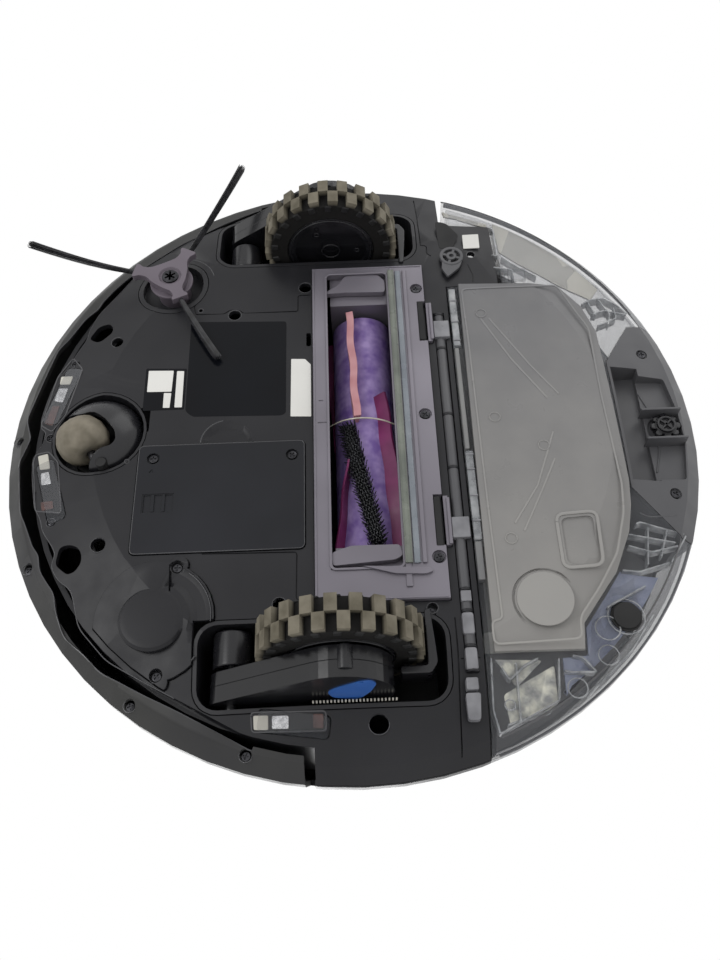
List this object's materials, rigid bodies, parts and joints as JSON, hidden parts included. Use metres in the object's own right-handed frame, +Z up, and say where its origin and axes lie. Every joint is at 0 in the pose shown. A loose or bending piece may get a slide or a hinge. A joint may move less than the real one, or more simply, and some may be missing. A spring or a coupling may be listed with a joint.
{
  "type": "robot vacuum",
  "caption": "Round robot vacuum with drive wheels, caster, side brush, main brush roll, sprung bumper, turret and a pull-out wet tank.",
  "frame": {"origin": "bottom centre of the bounding box: the robot's centre, at the foot of the hanging drive wheels", "axes": "+Z up as the robot drives, the bumper faces -Y, the tank is at +Y, and +X is the robot's left"},
  "size_m": [0.34, 0.34, 0.1258],
  "materials": {
    "shell": "charcoal moulded plastic, satin",
    "gloss": "near-black gloss plastic",
    "rear_grey": "dark grey moulded plastic",
    "mauve": "purple-grey satin plastic",
    "hub_mauve": "mauve-grey satin plastic",
    "rubber": "black soft rubber",
    "tread": "dusty brown-grey rubber lugs",
    "caster_ball": "worn brown-grey plastic",
    "bristle": "black nylon bristles",
    "barrel": "purple mottled plastic",
    "fin": "pink-purple soft rubber",
    "seal": "grey-green sealing rubber",
    "clear": "clear polycarbonate",
    "smoke": "smoke-grey frosted plastic",
    "board": "green circuit board",
    "cells": "blue-wrapped metal cells",
    "steel": "plain steel",
    "filter_white": "off-white pleated filter"
  },
  "bodies": {
    "chassis": {"base_pan": "shell", "rear_bulkhead": "shell", "side_brush_cup": "shell", "wheel_well_left": "shell", "wheel_well_right": "shell", "top_cover": "shell", "turret_housing": "gloss", "main_board": "board", "battery_pack": "cells", "battery_cover": "shell", "blank_cover": "shell", "side_brush_motor": "steel", "caster_socket": "shell", "brush_chamber": "shell", "end_cap_left": "mauve", "end_cap_right": "mauve", "brush_motor": "steel", "hinge_rod": "rear_grey", "fan_housing": "rear_grey", "cliff_sensor_front_left": "clear", "cliff_sensor_front_right": "clear", "cliff_sensor_side_left": "clear", "cliff_sensor_side_right": "clear"},
    "bumper": {"bumper": "shell"},
    "lidar_rotor": {"lidar_rotor": "gloss"},
    "clean_button": {"clean_button": "gloss"},
    "dock_button": {"dock_button": "gloss"},
    "side_brush": {"side_brush_hub": "hub_mauve", "bristle_tuft_1": "bristle", "bristle_tuft_2": "bristle", "bristle_tuft_3": "bristle"},
    "caster_fork": {"caster_yoke": "gloss", "caster_axle": "steel"},
    "caster_wheel": {"caster_wheel": "caster_ball"},
    "left_arm": {"gearbox_case_left": "gloss", "gearbox_cover_left": "gloss"},
    "left_wheel": {"wheel_hub_left": "gloss", "tyre_left": "tread"},
    "right_arm": {"gearbox_case_right": "gloss", "gearbox_cover_right": "gloss"},
    "right_wheel": {"wheel_hub_right": "gloss", "tyre_right": "tread"},
    "brush_cover": {"brush_frame": "mauve", "seal_strip": "seal"},
    "left_latch": {"latch_tab_left": "mauve"},
    "right_latch": {"latch_tab_right": "mauve"},
    "brush_roll": {"brush_barrel": "barrel", "brush_sleeve": "fin", "bristle_strip": "bristle"},
    "impeller": {"fan_impeller": "rear_grey"},
    "release_knob": {"release_knob": "rear_grey"},
    "tank": {"tank_shell": "clear", "tank_lid": "rear_grey", "grip_block": "rear_grey", "filter_pack": "filter_white"},
    "bin_door": {"bin_door": "smoke"},
    "door_catch": {"door_catch": "clear"},
    "valve_knob": {"valve_knob": "gloss"},
    "drain_plug": {"drain_plug": "rubber"}
  },
  "joints": [
    {"name": "bumper_press", "type": "slide", "parent": "chassis", "child": "bumper", "axis": [0, 1, 0], "range_m": [0, 0.003], "stiffness_N_per_m": 350, "springref_m": -0.002},
    {"name": "lidar_spin", "type": "hinge", "parent": "chassis", "child": "lidar_rotor", "pos_m": [0, 0.02, 0.1102], "axis": [0, 0, 1], "continuous": true},
    {"name": "clean_button_press", "type": "slide", "parent": "chassis", "child": "clean_button", "axis": [0, 0, -1], "range_m": [0, 0.0012], "stiffness_N_per_m": 400, "springref_m": -0.001},
    {"name": "dock_button_press", "type": "slide", "parent": "chassis", "child": "dock_button", "axis": [0, 0, -1], "range_m": [0, 0.0012], "stiffness_N_per_m": 400, "springref_m": -0.001},
    {"name": "side_brush_spin", "type": "hinge", "parent": "chassis", "child": "side_brush", "pos_m": [0.09, -0.093, 0.0398], "axis": [0, 0, 1], "continuous": true, "deforming": ["bristle_tuft_1", "bristle_tuft_2", "bristle_tuft_3"]},
    {"name": "caster_swivel", "type": "hinge", "parent": "chassis", "child": "caster_fork", "pos_m": [-0.002, -0.123, 0.0398], "axis": [0, 0, 1], "continuous": true},
    {"name": "caster_roll", "type": "hinge", "parent": "caster_fork", "child": "caster_wheel", "pos_m": [-0.00624, -0.12978, 0.0401], "axis": [0.848, -0.5299, 0], "continuous": true},
    {"name": "left_suspension", "type": "hinge", "parent": "chassis", "child": "left_arm", "pos_m": [0.13, -0.055, 0.0498], "axis": [1, 0, 0], "range_deg": [0, 33], "stiffness_Nm_per_rad": 0.27, "springref_deg": -49.85},
    {"name": "left_wheel_spin", "type": "hinge", "parent": "left_arm", "child": "left_wheel", "pos_m": [0.114, -0.0078, 0.0355], "axis": [1, 0, 0], "continuous": true},
    {"name": "right_suspension", "type": "hinge", "parent": "chassis", "child": "right_arm", "pos_m": [-0.13, -0.055, 0.0498], "axis": [1, 0, 0], "range_deg": [0, 33], "stiffness_Nm_per_rad": 0.27, "springref_deg": -49.85},
    {"name": "right_wheel_spin", "type": "hinge", "parent": "right_arm", "child": "right_wheel", "pos_m": [-0.114, -0.0078, 0.0355], "axis": [1, 0, 0], "continuous": true},
    {"name": "brush_cover_open", "type": "hinge", "parent": "chassis", "child": "brush_cover", "pos_m": [0, -0.0182, 0.0373], "axis": [-1, 0, 0], "range_deg": [0, 80]},
    {"name": "left_latch_press", "type": "slide", "parent": "chassis", "child": "left_latch", "axis": [0, -1, 0], "range_m": [0, 0.0022], "stiffness_N_per_m": 500, "springref_m": -0.001},
    {"name": "right_latch_press", "type": "slide", "parent": "chassis", "child": "right_latch", "axis": [0, -1, 0], "range_m": [0, 0.0022], "stiffness_N_per_m": 500, "springref_m": -0.001},
    {"name": "brush_roll_spin", "type": "hinge", "parent": "chassis", "child": "brush_roll", "pos_m": [0, 0.007, 0.0638], "axis": [1, 0, 0], "continuous": true},
    {"name": "impeller_spin", "type": "hinge", "parent": "chassis", "child": "impeller", "pos_m": [0.035, -0.057, 0.05], "axis": [0, 0, 1], "continuous": true},
    {"name": "release_knob_turn", "type": "hinge", "parent": "chassis", "child": "release_knob", "pos_m": [0.101, 0.057, 0.0398], "axis": [0, 0, 1], "range_deg": [0, 90]},
    {"name": "tank_slide", "type": "slide", "parent": "chassis", "child": "tank", "axis": [0, 1, 0], "range_m": [0, 0.13]},
    {"name": "bin_door_open", "type": "hinge", "parent": "tank", "child": "bin_door", "pos_m": [-0.12, 0.09, 0.0394], "axis": [0, 1, 0], "range_deg": [0, 90]},
    {"name": "door_catch_turn", "type": "hinge", "parent": "tank", "child": "door_catch", "pos_m": [0.09, 0.0905, 0.0394], "axis": [0, -1, 0], "range_deg": [0, 35], "stiffness_Nm_per_rad": 0.01, "springref_deg": -17.19},
    {"name": "valve_turn", "type": "hinge", "parent": "tank", "child": "valve_knob", "pos_m": [-0.006, 0.154, 0.049], "axis": [0, 0, 1], "range_deg": [0, 90]},
    {"name": "drain_plug_pull", "type": "slide", "parent": "tank", "child": "drain_plug", "axis": [0, 0, -1], "range_m": [0, 0.008]}
  ]
}
